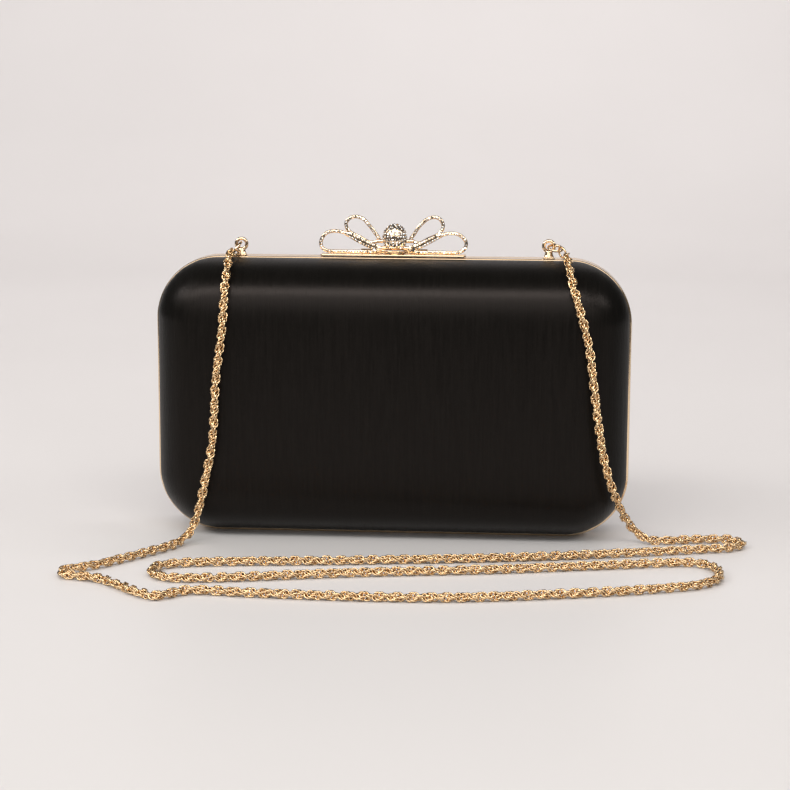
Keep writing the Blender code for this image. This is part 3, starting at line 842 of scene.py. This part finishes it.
def knot():
    cx, cy, cz = 0.5, -0.6, 125.7
    a, b, h = 5.0, 3.8, 5.9
    low = math.asin(-(cz - 120.5) / 6.3)
    rings, n = 22, 36
    verts, faces = [], []
    for i in range(rings):
        t = low + (math.radians(86) - low) * i / (rings - 1)
        for k in range(n):
            q = 2 * math.pi * k / n
            x, y = cx + a * math.cos(t) * math.cos(q), cy + b * math.cos(t) * math.sin(q)
            verts.append((x, y, cz + h * math.sin(t)))
    for j in range(rings - 1):
        for k in range(n):
            k2 = (k + 1) % n
            faces.append((j * n + k, j * n + k2, (j + 1) * n + k2, (j + 1) * n + k))
    faces.append(tuple(range(n)))
    faces.append(tuple(range((rings - 1) * n, rings * n)))
    make("bow_knot_gold", verts, faces, GOLD, "clasp", True, "gold_metal", ("bow_knot",))
    # stones in staggered rows over the dome
    row, z = 0, low + 0.26
    while z < math.radians(84):
        ring_r = math.cos(z)
        around = max(1, int(2 * math.pi * ring_r * (a + b) / 2 / 1.36))
        for k in range(around):
            q = 2 * math.pi * (k + 0.5 * (row % 2)) / around
            x, y = cx + a * math.cos(z) * math.cos(q), cy + b * math.cos(z) * math.sin(q)
            p = Vector((x, y, cz + h * math.sin(z)))
            nrm = Vector(((p.x - cx) / a ** 2, (p.y - cy) / b ** 2, (p.z - cz) / h ** 2)).normalized()
            STONES.append((p + nrm * 0.02, nrm, 0.58))
        z += 1.22 / h
        row += 1
    collar = [(4.1, 119.22), (4.25, 119.4), (4.25, 119.75), (3.95, 119.9), (3.8, 120.1), (4.0, 120.45)]
    base = revolve(collar, (0.5, -1.2), 36, 0.72)
    ob = make("bow_base_gold", *base, GOLD, "clasp", True, "gold_metal", ("bow_base",))
    autosmooth(ob, 30.0)


knot()
ARMS = [((-7.2, 0.6, 124.3), (-2.6, -0.4, 124.4)), ((7.9, 0.6, 124.4), (3.6, -0.4, 124.4)),
        ((-6.6, -1.0, 121.3), (-2.2, -1.0, 121.9)), ((7.4, -1.0, 121.3), (3.2, -1.0, 121.9))]
ARM_R = 0.85
arm_mesh = join_meshes([rod_mesh(a, b, ARM_R, 16) for a, b in ARMS])
arms = make("bow_arms", *arm_mesh, GOLD, "clasp", True, "gold_metal")
autosmooth(arms, 40.0)
make("bow_stones", *gem_mesh(STONES), CRYSTAL, "clasp", False, "gold_metal")

# ---------------------------------------------------------------- CAD nodes that stay, with their own finish
for node, mat in (("front_shell", BOARD), ("rear_shell", BOARD)):
    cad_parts[node].data.materials[0] = mat
for node in ("hinge_leaf_front_l", "hinge_leaf_front_r", "hinge_leaf_rear_l", "hinge_leaf_rear_r",
             "hinge_pin_l", "hinge_pin_r", "clasp_catch", "clasp_ear_l", "clasp_ear_r", "clasp_pin"):
    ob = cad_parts[node]
    ob.data.materials[0] = GOLD
    bevelled(ob, 0.1)


# ---------------------------------------------------------------- floor, backdrop and light
def stage_mesh():
    m, nt, b = node_material("pale_stage")
    g = noise_node(nt, (3.0, 3.0, 3.0), 2.0, 0.5)
    pale = mix_colour(nt, remap(nt, g, 0.0, 1.0), (0.61, 0.592, 0.578), (0.635, 0.617, 0.603))
    link(nt, pale, b.inputs["Base Color"])
    b.inputs["Roughness"].default_value = 0.5
    pts = [(-0.45, 0.0), (1.0, 0.0)]
    for k in range(1, 13):
        a = math.radians(90 * k / 12)
        pts.append((1.0 + 0.9 * math.sin(a), 0.9 - 0.9 * math.cos(a)))
    pts.append((1.9, 3.2))
    verts = [(x, y, z) for y, z in pts for x in (-0.9, 0.9)]
    faces = [(2 * i, 2 * i + 1, 2 * i + 3, 2 * i + 2) for i in range(len(pts) - 1)]
    me = bpy.data.meshes.new("stage")
    me.from_pydata(verts, [], faces)
    me.polygons.foreach_set("use_smooth", [True] * len(me.polygons))
    me.materials.append(m)
    ob = bpy.data.objects.new("stage", me)
    scene.collection.objects.link(ob)


stage_mesh()


def area(name, place, aim, size, power, colour=(1, 1, 1)):
    l = bpy.data.lights.new(name, "AREA")
    l.shape = "RECTANGLE"
    l.size, l.size_y = size
    l.energy = power
    l.color = colour
    ob = bpy.data.objects.new(name, l)
    scene.collection.objects.link(ob)
    ob.location = place
    ob.rotation_euler = (Vector(aim) - Vector(place)).to_track_quat("-Z", "Y").to_euler()
    return ob


area("softbox", (-0.45, -1.15, 1.28), (-0.45, 0.0, 0.05), (2.6, 0.5), 22.0, (1.0, 0.98, 0.965))
area("glow", (0.05, -1.5, 0.95), (0.05, 0.0, 0.05), (2.8, 1.3), 19.0, (1.0, 0.98, 0.965))
area("left_box", (-1.35, -0.35, 1.0), (0.0, 0.0, 0.05), (1.0, 0.35), 7.0, (1.0, 0.98, 0.965))
area("right_box", (1.3, -0.4, 0.95), (0.0, 0.0, 0.05), (0.6, 0.3), 4.0, (1.0, 0.98, 0.965))
wall_wash = area("wall_wash", (0.0, 0.55, 1.9), (0.0, 1.9, 0.65), (2.4, 0.5), 37.0, (1.0, 0.955, 0.97))
wall_wash.visible_glossy = False
world = bpy.data.worlds.new("studio")
world.use_nodes = True
world.node_tree.nodes["Background"].inputs["Color"].default_value = (1.0, 0.97, 0.95, 1)
world.node_tree.nodes["Background"].inputs["Strength"].default_value = 0.09
scene.world = world
scene.view_settings.view_transform = "Standard"
scene.view_settings.look = "None"
